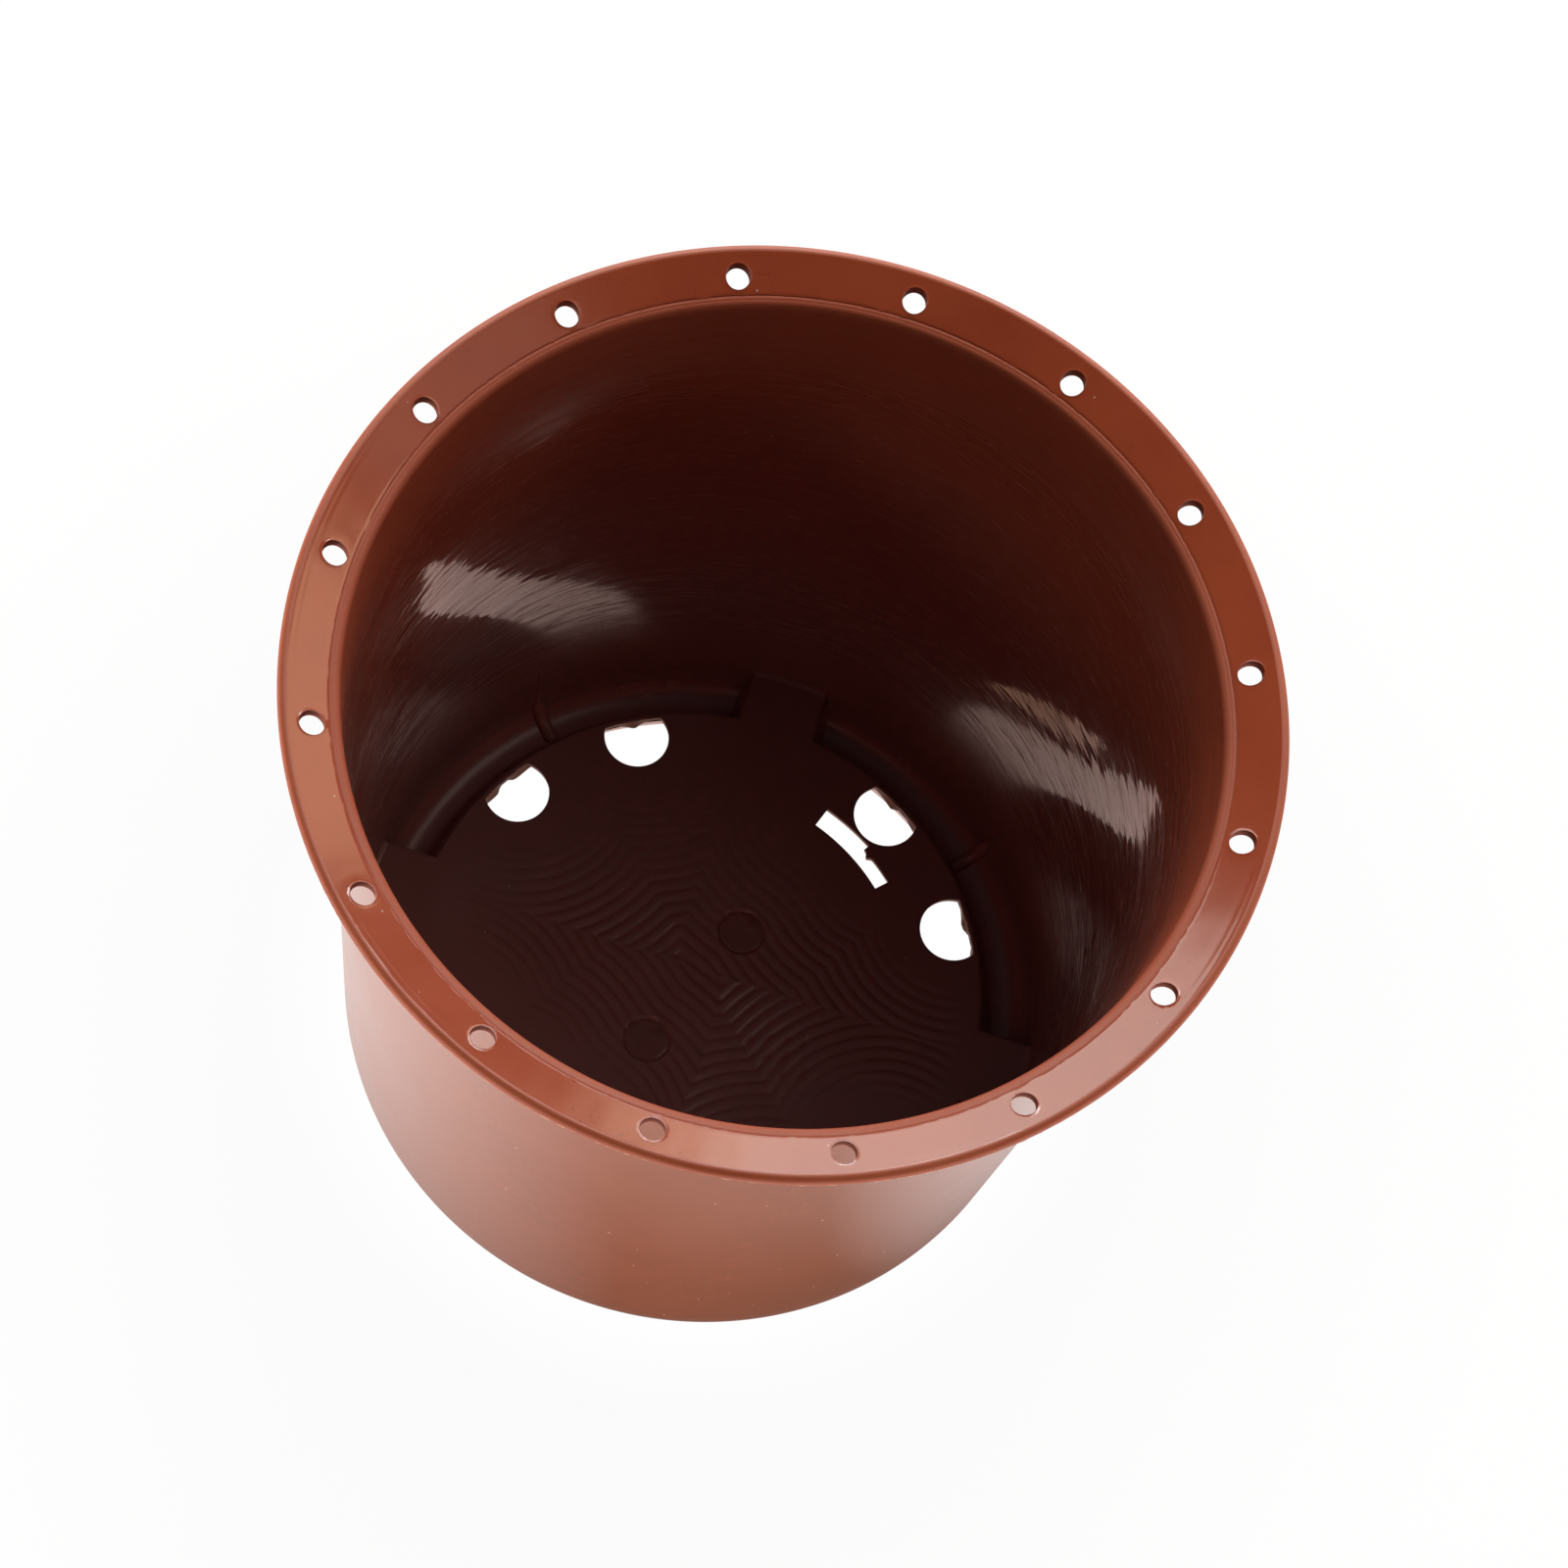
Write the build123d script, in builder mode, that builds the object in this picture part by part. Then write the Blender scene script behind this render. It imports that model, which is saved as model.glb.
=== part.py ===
"""Orchid pot with slots: a tapered plastic pot with a raised, slotted floor.

The flange round the mouth slopes up outwards and is pierced by a ring of small
holes. The floor stands clear of the ground on four hollow arc feet, and water
leaves through its holes and runs out between the feet. Sizes in millimetres,
+Z up, origin on the ground under the middle of the pot.
"""

import os
from math import cos, radians, tan

from build123d import *

# Rim: the sloped flange and its ring of holes.
rim_radius = 100.0
pot_height = 175.4
flange_width = 10.2
flange_slope = 22.0
flange_thickness = 2.3
flange_top_edge = 1.3
flange_under_edge = 0.4
rim_hole_inset = 6.5
rim_hole_diameter = 5.0
rim_hole_count = 16

# Wall: the tapered shell, its rounded lip and its rounded bottom corner.
wall_taper = 9.4
wall_thickness = 2.1
lip_rounding = 1.8
corner_rounding = 9.3

# Floor: the raised plate, its four tabs and its openings.
floor_height = 11.0
floor_thickness = 2.0
channel_width = 12.3
plate_draft = 18.0
tab_width = 17.8
tab_draft = 15.0
drain_inset = 5.0
drain_diameter = 15.0
drain_spread = 15.0
drain_wall = 1.2
slot_count = 2
slot_bridge = 0.75
slot_wide_end = 4.95
slot_narrow_end = 3.5
slot_start = 46.3
slot_step = 57.0
slot_stop = 71.1
ejector_diameter = 10.5
ejector_depth = 0.2
first_ejector_radius = 15.6
first_ejector_angle = 65.3
second_ejector_radius = 19.0
second_ejector_angle = 249.2

# Feet: hollow arcs below the wall, open to the inside of the pot.
foot_count = 4
foot_thickness = 2.0
foot_wall = 1.8
channel_corner = 1.5
foot_edge = 0.8
drain_mouth_height = 5.0
rib_width = 3.4
rib_climb = 12.0

# Leans, heights and radii that follow from the sizes above.
plate_lean = tan(radians(plate_draft))
tab_lean = tan(radians(tab_draft))
flange_lean = tan(radians(flange_slope))
rounded_off = flange_top_edge * (flange_lean + 1 / cos(radians(flange_slope)) - 1)
rim_height = pot_height + rounded_off
floor_underside = floor_height - floor_thickness
witness_radius = rim_radius - flange_width
plate_radius = witness_radius - wall_thickness - wall_taper - channel_width
drain_circle = plate_radius - drain_inset
slot_wide_radius = drain_circle - drain_diameter / 2 - slot_bridge
slot_inner_radius = slot_wide_radius - slot_wide_end
slot_narrow_radius = slot_inner_radius + slot_narrow_end
channel_rounding = corner_rounding - wall_thickness
rib_radius = rib_width / 2
foot_pitch = 360 / foot_count


def flange_top(radius):
    """Height of the flange's upper face at a radius."""
    return rim_height - (rim_radius - radius) * flange_lean


def flange_under(radius):
    """Height of the flange's lower face at a radius."""
    return flange_top(radius) - flange_thickness


# The flange leaves the wall's outer face between these two heights.
witness_height = flange_top(witness_radius)
wall_lean = wall_taper / (witness_height - floor_height)
seat_height = witness_height - flange_thickness / (1 - flange_lean * wall_lean)


def wall_outside(height):
    """Radius of the wall's outer face at a height."""
    return witness_radius - (witness_height - height) * wall_lean


def wall_inside(height):
    """Radius of the wall's inner face at a height."""
    return wall_outside(height) - wall_thickness


def channel_side(height):
    """Radius of a channel's face on the side of the floor."""
    return plate_radius + (floor_height - height) * plate_lean


def foot_side(height):
    """Radius of a foot's hidden face, under the floor."""
    return channel_side(height) - foot_wall


def channel_end(height):
    """Distance of a channel's end face from the middle line of a tab."""
    return tab_width / 2 + (floor_height - height) * tab_lean


def foot_end(height):
    """Distance of a foot's end face from the middle line of a tab."""
    return channel_end(height) - foot_wall / cos(radians(tab_draft))


def corner(section, across, up):
    """The vertex of a section nearest to a point."""
    return section.vertices().sort_by_distance((across, up, 0))[0]


def across_tab(half_width, low, high):
    """Corners of a section across a tab between two heights."""
    return (
        (-half_width(low), low),
        (half_width(low), low),
        (half_width(high), high),
        (-half_width(high), high),
    )


# Upright planes across the tabs, one for each gap between two feet.
tab_planes = [Plane.YZ.rotated((0, 0, index * foot_pitch)) for index in range(foot_count)]

# Half sections of the pot's outer form and of the space inside it.
with BuildSketch(Plane.XZ) as outer_form:
    with BuildLine():
        Polyline(
            (0, 0),
            (wall_outside(0), 0),
            (wall_outside(rim_height), rim_height),
            (0, rim_height),
            close=True,
        )
    make_face()
    fillet(corner(outer_form, wall_outside(0), 0), corner_rounding)

with BuildSketch(Plane.XZ) as inner_form:
    with BuildLine():
        Polyline(
            (0, foot_thickness),
            (wall_inside(foot_thickness), foot_thickness),
            (wall_inside(rim_height), rim_height),
            (0, rim_height),
            close=True,
        )
    make_face()
    fillet(corner(inner_form, wall_inside(foot_thickness), foot_thickness), channel_rounding)

# Flange: a cone-shaped ring that starts at the wall's outer face.
with BuildPart() as rim_flange:
    with BuildSketch(Plane.XZ) as flange_section:
        with BuildLine():
            Polyline(
                (witness_radius, witness_height),
                (wall_outside(seat_height), seat_height),
                (rim_radius, flange_under(rim_radius)),
                (rim_radius, rim_height),
                close=True,
            )
        make_face()
        fillet(corner(flange_section, rim_radius, rim_height), flange_top_edge)
        fillet(corner(flange_section, rim_radius, flange_under(rim_radius)), flange_under_edge)
    revolve(axis=Axis.Z)
    with BuildSketch(Plane.XY.offset(rim_height)):
        with PolarLocations(rim_radius - rim_hole_inset, rim_hole_count):
            Circle(rim_hole_diameter / 2)
    extrude(amount=-rim_height, mode=Mode.SUBTRACT)

# Wall: the shell between the two forms, from the drain mouths up to the lip.
with BuildPart() as pot_wall:
    with BuildSketch(Plane.XZ) as wall_section:
        add(outer_form.sketch_local)
        add(inner_form.sketch_local, mode=Mode.SUBTRACT)
        with BuildLine():
            Polyline(
                (0, drain_mouth_height),
                (rim_radius, drain_mouth_height),
                (rim_radius, flange_top(rim_radius)),
                (0, flange_top(0)),
                close=True,
            )
        make_face(mode=Mode.INTERSECT)
        mouth_radius = wall_inside(witness_height)
        fillet(corner(wall_section, mouth_radius, flange_top(mouth_radius)), lip_rounding)
    revolve(axis=Axis.Z)

# Floor: a drafted plate with four tabs that run out to the wall.
with BuildPart() as pot_floor:
    with BuildSketch(Plane.XZ):
        with BuildLine():
            Polyline(
                (0, floor_underside),
                (channel_side(floor_underside), floor_underside),
                (plate_radius, floor_height),
                (0, floor_height),
                close=True,
            )
        make_face()
    revolve(axis=Axis.Z)
    for tab_plane in tab_planes:
        with BuildSketch(tab_plane):
            Polygon(*across_tab(channel_end, floor_underside, floor_height), align=None)
        extrude(amount=rim_radius)
    with BuildSketch(Plane.XZ):
        add(inner_form.sketch_local)
    revolve(axis=Axis.Z, mode=Mode.INTERSECT)
    with BuildSketch(Plane.XY.offset(floor_height)):
        for side in (-1, 1):
            with PolarLocations(drain_circle, foot_count, foot_pitch / 2 + side * drain_spread):
                Circle(drain_diameter / 2)
        Circle(plate_radius - drain_wall, mode=Mode.INTERSECT)
    extrude(amount=-floor_thickness, mode=Mode.SUBTRACT)
    for slot_index in range(slot_count):
        slot_turn = slot_index * 360 / slot_count
        for reach, start, stop in (
            (slot_narrow_radius, slot_start, slot_step),
            (slot_wide_radius, slot_step, slot_stop),
        ):
            with BuildSketch(Plane.XY.offset(floor_height)):
                with BuildLine():
                    near_arc = CenterArc((0, 0), slot_inner_radius, start + slot_turn, stop - start)
                    far_arc = CenterArc((0, 0), reach, start + slot_turn, stop - start)
                    Line(near_arc @ 0, far_arc @ 0)
                    Line(near_arc @ 1, far_arc @ 1)
                make_face()
            extrude(amount=-floor_thickness, mode=Mode.SUBTRACT)
    for spot_radius, spot_angle in (
        (first_ejector_radius, first_ejector_angle),
        (second_ejector_radius, second_ejector_angle),
    ):
        with BuildSketch(Plane.XY.offset(floor_height)):
            with PolarLocations(spot_radius, 1, spot_angle):
                Circle(ejector_diameter / 2)
        extrude(amount=-ejector_depth, mode=Mode.SUBTRACT)

# Channel: the hollow of one foot, with drafted ends.
with BuildPart() as channel:
    with BuildSketch(Plane.XZ) as channel_section:
        with BuildLine():
            Polyline(
                (channel_side(foot_thickness), foot_thickness),
                (rim_radius, foot_thickness),
                (rim_radius, floor_underside),
                (channel_side(floor_underside), floor_underside),
                close=True,
            )
        make_face()
        add(inner_form.sketch_local, mode=Mode.INTERSECT)
        fillet(corner(channel_section, channel_side(foot_thickness), foot_thickness), channel_corner)
    revolve(axis=Axis.Z, revolution_arc=foot_pitch)
    for tab_plane in tab_planes[:2]:
        with BuildSketch(tab_plane):
            Polygon(*across_tab(channel_end, 0, floor_height), align=None)
        extrude(amount=rim_radius, mode=Mode.SUBTRACT)

# Foot: an arc trough below the wall, closed at both ends.
with BuildPart() as foot:
    with BuildSketch(Plane.XZ) as foot_section:
        with BuildLine():
            Polyline(
                (foot_side(0), 0),
                (rim_radius, 0),
                (rim_radius, floor_underside),
                (foot_side(floor_underside), floor_underside),
                close=True,
            )
        make_face()
        add(outer_form.sketch_local, mode=Mode.INTERSECT)
        add(wall_section.sketch_local, mode=Mode.SUBTRACT)
        fillet(corner(foot_section, foot_side(0), 0), foot_edge)
    revolve(axis=Axis.Z, revolution_arc=foot_pitch)
    for tab_plane in tab_planes[:2]:
        with BuildSketch(tab_plane):
            Polygon(*across_tab(foot_end, 0, floor_height), align=None)
        extrude(amount=rim_radius, mode=Mode.SUBTRACT)
    add(channel.part, mode=Mode.SUBTRACT)

# Rib: a half-round bead across the middle of a channel and up the wall.
rib_plane = Plane.XZ.rotated((0, 0, foot_pitch / 2))
with BuildPart() as foot_rib:
    with BuildLine(rib_plane) as rib_line:
        low_end = (channel_side(foot_thickness) + channel_corner, foot_thickness)
        bend = (wall_inside(foot_thickness), foot_thickness)
        high_end = (wall_inside(floor_height + rib_climb), floor_height + rib_climb)
        FilletPolyline(low_end, bend, high_end, radius=channel_rounding)
    with BuildSketch(Plane(rib_line.line @ 0, z_dir=rib_line.line % 0)):
        Circle(rib_radius)
    sweep()
    with Locations(rib_line.line @ 0, rib_line.line @ 1):
        Sphere(rib_radius)
    add(foot.part, mode=Mode.SUBTRACT)
    add(pot_wall.part, mode=Mode.SUBTRACT)

# Every node on its own, the feet and ribs repeated round the pot.
os.makedirs("parts", exist_ok=True)
for node, solid in (("rim_flange", rim_flange), ("pot_wall", pot_wall), ("pot_floor", pot_floor)):
    solid.part.label = node
    export_step(solid.part, f"parts/{node}.step")
for node, solid in (("foot", foot), ("foot_rib", foot_rib)):
    for foot_index in range(foot_count):
        turned = solid.part.rotate(Axis.Z, foot_index * foot_pitch)
        turned.label = f"{node}_{foot_index + 1}"
        export_step(turned, f"parts/{turned.label}.step")
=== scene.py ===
from math import acos, asin, cos, pi, radians, sin, sqrt, tan

import bmesh
import bpy
import numpy as np
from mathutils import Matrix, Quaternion, Vector
from mathutils.geometry import delaunay_2d_cdt


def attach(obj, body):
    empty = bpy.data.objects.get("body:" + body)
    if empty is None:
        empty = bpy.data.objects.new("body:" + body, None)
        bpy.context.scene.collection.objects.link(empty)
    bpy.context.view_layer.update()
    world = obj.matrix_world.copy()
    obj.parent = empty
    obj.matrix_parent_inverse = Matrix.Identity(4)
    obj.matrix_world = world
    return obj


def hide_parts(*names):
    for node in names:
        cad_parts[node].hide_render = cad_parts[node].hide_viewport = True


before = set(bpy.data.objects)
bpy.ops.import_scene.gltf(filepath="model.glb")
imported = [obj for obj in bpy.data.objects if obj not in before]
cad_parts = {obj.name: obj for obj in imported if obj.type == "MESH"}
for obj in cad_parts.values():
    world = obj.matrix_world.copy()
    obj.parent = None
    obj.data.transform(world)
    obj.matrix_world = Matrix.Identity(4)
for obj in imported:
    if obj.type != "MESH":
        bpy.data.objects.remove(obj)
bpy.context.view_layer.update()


# Raised floor: a thin plate of red-brown polypropylene, moulded in one shot with the rest of
# the pot. Four tabs carry it to the wall. The cutter that sank the mould left contour ridges
# round every opening, and two ejector pins left round marks. Sizes in millimetres.
MILLIMETRE = 0.001
floor_height = 11.0
floor_underside = 9.0
floor_edge_rounding = 0.5
plate_radius = 66.0
plate_lean = tan(radians(18))
tab_half_width = 8.9
tab_draft = radians(15)
tab_lean = tan(tab_draft)
tab_reach = 78.6
tab_fillet, tab_fillet_run = 0.6, (77.1, 78.4)
drain_circle = 61.0
drain_radius = 7.5
drain_angles = [radians(quarter + turn) for quarter in (45, 135, 225, 315) for turn in (-15, 15)]
drain_cut = 64.8
drain_raggedness, ragged_count, ragged_span = 0.12, 9, 1.1
web_reach, web_waves = 0.6, 3.4
opening_rounding = 0.2
opening_draft = 0.28
slot_turns = (0, pi)
slot_start, slot_step, slot_stop = radians(46.3), radians(57.0), radians(71.1)
slot_inner, slot_narrow, slot_wide = 47.8, 51.3, 52.75
nub_angle, nub_spread, nub_height = radians(55.0), radians(0.75), 0.95
ridge_pitch, ridge_depth, ridge_sharpness = 2.8, 0.42, 0.6
ridge_shift = (0.0, 2.5)
ridge_start, ridge_stop = (4.0, 19.0), (57.0, 63.0)
ridge_worn, ridge_wear = (-6.0, 28.0), 0.8
floor_wave = 0.03
ejector_radius, ejector_depth = 5.25, 0.4
ejector_marks = ((15.6, radians(65.3)), (19.0, radians(249.2)))
mark_edge, mark_wave, mark_margin = (-0.1, 0.25), 0.05, 0.1
pip_place, pip_run, pip_height = (1.6, 2.0), (0.3, 1.7), 0.16
moat_inset, moat_depth = 0.2, 0.16
burr_outset, burr_height = 0.6, 0.07
ring_width = 0.3
side_points, tip_points, arc_points = 22, 30, 150
drain_points = 120
slot_near_points, slot_far_points = 60, 40
floor_grain = np.random.default_rng(11)


def on_circle(radius, angle):
    """Points on a circle round the pot's axis."""
    return np.stack([radius * np.cos(angle), radius * np.sin(angle)], -1)


def turned(points, angle):
    """Flat points turned round the pot's axis."""
    return points @ np.array([[cos(angle), sin(angle)], [-sin(angle), cos(angle)]])


def ramp(value, low, high):
    """A smooth step from 0 to 1."""
    share = np.clip((value - low) / (high - low), 0, 1)
    return share * share * (3 - 2 * share)


def floor_outline(height, inset):
    """Edge of the plate and its four tabs at a height, pulled in by an inset."""
    drop = floor_height - height
    radius = plate_radius + drop * plate_lean - inset
    half = tab_half_width + drop * tab_lean - inset
    root, tip = asin(half / radius), asin(half / tab_reach)
    side = np.linspace(sqrt(radius**2 - half**2), sqrt(tab_reach**2 - half**2), side_points)
    quarter = np.concatenate([
        np.stack([side, np.full_like(side, -half)], -1),
        on_circle(tab_reach, np.linspace(-tip, tip, tip_points)[1:-1]),
        np.stack([side[::-1], np.full_like(side, half)], -1),
        on_circle(radius, np.linspace(root, pi / 2 - root, arc_points)[1:-1]),
    ])
    return np.concatenate([turned(quarter, index * pi / 2) for index in range(4)])


# The cut-off side of every drain hole is a little uneven, as the trimmed plastic is, and a wavy
# web of plastic is left at its lower edge.
ragged_steps = floor_grain.uniform(-1, 1, (len(drain_angles), ragged_count))
web_turns = floor_grain.uniform(0, 2 * pi, len(drain_angles))


def drain_reach(index, direction, grow, web=0.0):
    """Distance from a drain hole's middle to its edge, in a direction, past the web left at its cut."""
    across = cos(drain_angles[index]) * np.cos(direction) + sin(drain_angles[index]) * np.sin(direction)
    off_axis = (direction - drain_angles[index] + pi) % (2 * pi) - pi
    step_angles = np.linspace(-ragged_span, ragged_span, ragged_count)
    uneven = np.interp(off_axis, step_angles, ragged_steps[index])
    web = web * web_reach * (1 + np.sin(web_turns[index] + web_waves * off_axis))
    cut = drain_cut + drain_raggedness * uneven + grow - web
    along = drain_circle * across
    to_cut = -along + np.sqrt(along**2 - drain_circle**2 + cut**2)
    return np.minimum(drain_radius + grow, to_cut)


def drain_loop(index, grow, web=0.0):
    """Edge of one drain hole, widened by an amount."""
    direction = np.linspace(0, 2 * pi, drain_points, endpoint=False)
    middle = on_circle(drain_circle, drain_angles[index])
    reach = drain_reach(index, direction, grow, web)
    return middle + reach[:, None] * np.stack([np.cos(direction), np.sin(direction)], -1)


def slot_outer(angle):
    """Outer radius of a slot along its length, with the stub of plastic at its step."""
    stub = nub_height * np.exp(-(((angle - nub_angle) / nub_spread) ** 2))
    return np.where(angle > slot_step, slot_wide, slot_narrow - stub)


def slot_loop(turn, grow):
    """Edge of one slot, widened by an amount."""
    start, stop = slot_start - grow / slot_inner, slot_stop + grow / slot_inner
    near = np.linspace(start, stop, slot_near_points)
    step = slot_step - grow / slot_narrow
    narrow = np.linspace(start, step, slot_far_points)
    wide = np.linspace(step, stop, slot_far_points)
    edge = np.concatenate([
        on_circle(slot_inner - grow, near),
        on_circle(slot_wide + grow, wide[::-1]),
        on_circle(slot_outer(np.minimum(narrow[::-1], slot_step)) + grow, narrow[::-1]),
    ])
    return turned(edge, turn)


def opening_loops(grow, web=0.0):
    """Edges of all the drain holes and then the slots, widened by an amount."""
    drains = [drain_loop(index, grow, web) for index in range(len(drain_angles))]
    return drains + [slot_loop(turn, grow) for turn in slot_turns]


def on_floor(points, margin, grow, web=0.0):
    """Which flat points lie on the floor, a margin inside its edge, clear of the widened openings."""
    x, y = points[:, 0], points[:, 1]
    radius, angle = np.hypot(x, y), np.arctan2(y, x)
    clear = floor_edge_rounding + margin
    inside = radius < plate_radius - clear
    for index in range(4):
        along, across = turned(points, -index * pi / 2).T
        inside |= (along > 0) & (np.abs(across) < tab_half_width - clear) & (radius < tab_reach - margin)
    for index, drain_angle in enumerate(drain_angles):
        from_middle = points - on_circle(drain_circle, drain_angle)
        direction = np.arctan2(from_middle[:, 1], from_middle[:, 0])
        inside &= np.hypot(*from_middle.T) > drain_reach(index, direction, grow, web)
    for turn in slot_turns:
        local = (angle - turn) % (2 * pi)
        beside = (local > slot_start - grow / slot_inner) & (local < slot_stop + grow / slot_inner)
        reach = np.where(local > slot_step - grow / slot_narrow, slot_wide, slot_outer(local))
        inside &= ~(beside & (radius > slot_inner - grow) & (radius < reach + grow))
    return inside


def floor_relief(points):
    """How far the floor's upper face lies below its nominal height."""
    x, y = points[:, 0] - ridge_shift[0], points[:, 1] - ridge_shift[1]
    radius, angle = np.hypot(x, y), np.arctan2(y, x)
    away = np.full(len(points), 1e3)
    for drain_angle in drain_angles:
        middle = on_circle(drain_circle, drain_angle)
        away = np.minimum(away, np.hypot(x - middle[0], y - middle[1]) - drain_radius)
    for turn in slot_turns:
        local = np.clip((angle - turn) % (2 * pi), slot_start, slot_stop) + turn
        near = on_circle(np.clip(radius, slot_inner, slot_wide)[:, None], local[:, None])[:, 0]
        away = np.minimum(away, np.hypot(x - near[:, 0], y - near[:, 1]))
    groove = 1 - np.abs(np.sin(pi * away / ridge_pitch)) ** ridge_sharpness
    strength = ramp(away, *ridge_start) * (1 - ramp(np.hypot(*points.T), *ridge_stop))
    strength = strength * (1 - ridge_wear * ramp(y, *ridge_worn))
    # Slow waves keep the ridges and the face between them from being even.
    waver = 0.8 + 0.2 * np.sin(0.19 * x + 0.7) * np.cos(0.23 * y)
    relief = ridge_depth * strength * waver * groove
    relief += floor_wave * (1 + np.sin(0.11 * x + 1.0) * np.cos(0.09 * y - 0.4))
    for mark_radius, mark_angle in ejector_marks:
        from_mark = points - on_circle(mark_radius, mark_angle)
        past_edge = np.hypot(*from_mark.T) - ejector_radius
        disc = 1 - ramp(past_edge, *mark_edge)
        pip = 1 - ramp(np.hypot(*(from_mark - pip_place).T), *pip_run)
        sunk = ejector_depth + mark_wave * np.cos(0.9 * from_mark[:, 0]) - pip_height * pip
        burr = burr_height * np.exp(-(((past_edge - burr_outset) / ring_width) ** 2))
        moat = moat_depth * np.exp(-(((past_edge + moat_inset) / ring_width) ** 2))
        relief = relief * (1 - disc) + sunk * disc + moat - burr
    return relief - tab_fillet * ramp(np.hypot(*points.T), *tab_fillet_run) ** 2


sliver, weld = 0.004, 0.002


def filled(loops, points, keep):
    """Triangles between closed edges and loose points, with the index of every edge point.

    A triangle lower than a sliver lies along a straight edge and is left out."""
    flat = [Vector(point) for loop in loops for point in loop] + [Vector(point) for point in points]
    edges, first = [], 0
    for loop in loops:
        ring = np.arange(first, first + len(loop))
        edges += np.stack([ring, np.roll(ring, -1)], -1).tolist()
        first += len(loop)
    corners, _, triangles, sources, _, _ = delaunay_2d_cdt(flat, edges, [], 0, 1e-5)
    corners = np.array([tuple(corner) for corner in corners])
    triangles = np.array(triangles)
    triangles = triangles[keep(corners[triangles].mean(1))]
    sides = corners[triangles] - corners[np.roll(triangles, 1, axis=1)]
    twice_area = np.abs(sides[:, 0, 0] * sides[:, 1, 1] - sides[:, 0, 1] * sides[:, 1, 0])
    triangles = triangles[twice_area > sliver * np.hypot(*sides.T).max(0)]
    place = {source: index for index, group in enumerate(sources) for source in group}
    rings, first = [], 0
    for loop in loops:
        rings.append(np.array([place[first + step] for step in range(len(loop))]))
        first += len(loop)
    return corners, triangles, rings


def between(lower, upper, closed=True):
    """Four-sided faces between two rows of points with equal counts."""
    steps = len(lower) if closed else len(lower) - 1
    after = (np.arange(steps) + 1) % len(lower)
    return np.stack([lower[:steps], lower[after], upper[after], upper[:steps]], -1).tolist()


class Moulding:
    """Points and faces of one piece while it is put together."""

    def __init__(self):
        self.points, self.faces, self.finishes = np.zeros((0, 3)), [], []

    def add_points(self, points):
        first = len(self.points)
        self.points = np.concatenate([self.points, points])
        return np.arange(first, len(self.points))

    def add_faces(self, faces, finish=0, flip=False):
        self.faces += [list(face)[::-1] if flip else list(face) for face in faces]
        self.finishes += [finish] * len(faces)

    def piece(self, name, materials, crease=35):
        """The finished piece, in metres, riding on the pot's one body."""
        mesh = bpy.data.meshes.new(name)
        mesh.from_pydata((self.points * MILLIMETRE).tolist(), [], self.faces)
        for material in materials:
            mesh.materials.append(material)
        mesh.polygons.foreach_set("material_index", self.finishes)
        mesh.validate()
        made = bpy.data.objects.new(name, mesh)
        bpy.context.scene.collection.objects.link(made)
        welded = bmesh.new()
        welded.from_mesh(mesh)
        bmesh.ops.remove_doubles(welded, verts=welded.verts, dist=weld * MILLIMETRE)
        bmesh.ops.recalc_face_normals(welded, faces=welded.faces)
        welded.to_mesh(mesh)
        welded.free()
        mesh.shade_smooth()
        mesh.set_sharp_from_angle(angle=radians(crease))
        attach(made, "root")
        return made


def at_height(points, height):
    """Flat points lifted to a height."""
    return np.concatenate([points, np.broadcast_to(height, (len(points),))[:, None]], -1)


def put(tree, kind, inputs=None, **settings):
    """A shader node, its inputs given as values or as sockets to link."""
    made = tree.nodes.new(kind)
    for name, value in settings.items():
        setattr(made, name, value)
    for key, value in (inputs or {}).items():
        if isinstance(value, bpy.types.NodeSocket):
            tree.links.new(value, made.inputs[key])
        else:
            made.inputs[key].default_value = value
    return made


def reckon(tree, operation, *values):
    """A Math node's result."""
    return put(tree, "ShaderNodeMath", dict(enumerate(values)), operation=operation).outputs[0]


def tinted(tree, share, first, second):
    """A colour between two colours."""
    inputs = {0: share, 6: first, 7: second}
    return put(tree, "ShaderNodeMix", inputs, data_type="RGBA").outputs[2]


def spread(tree, value, low, high, start, stop):
    """A value moved from one range to another."""
    inputs = {"Value": value, "From Min": low, "From Max": high, "To Min": start, "To Max": stop}
    return put(tree, "ShaderNodeMapRange", inputs).outputs[0]


def new_group(name, outputs):
    """An empty shader node group with its outputs named."""
    group = bpy.data.node_groups.new(name, "ShaderNodeTree")
    for output in outputs:
        group.interface.new_socket(output, in_out="OUTPUT", socket_type="NodeSocketFloat")
    return group, group.nodes.new("NodeGroupOutput")


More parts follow.
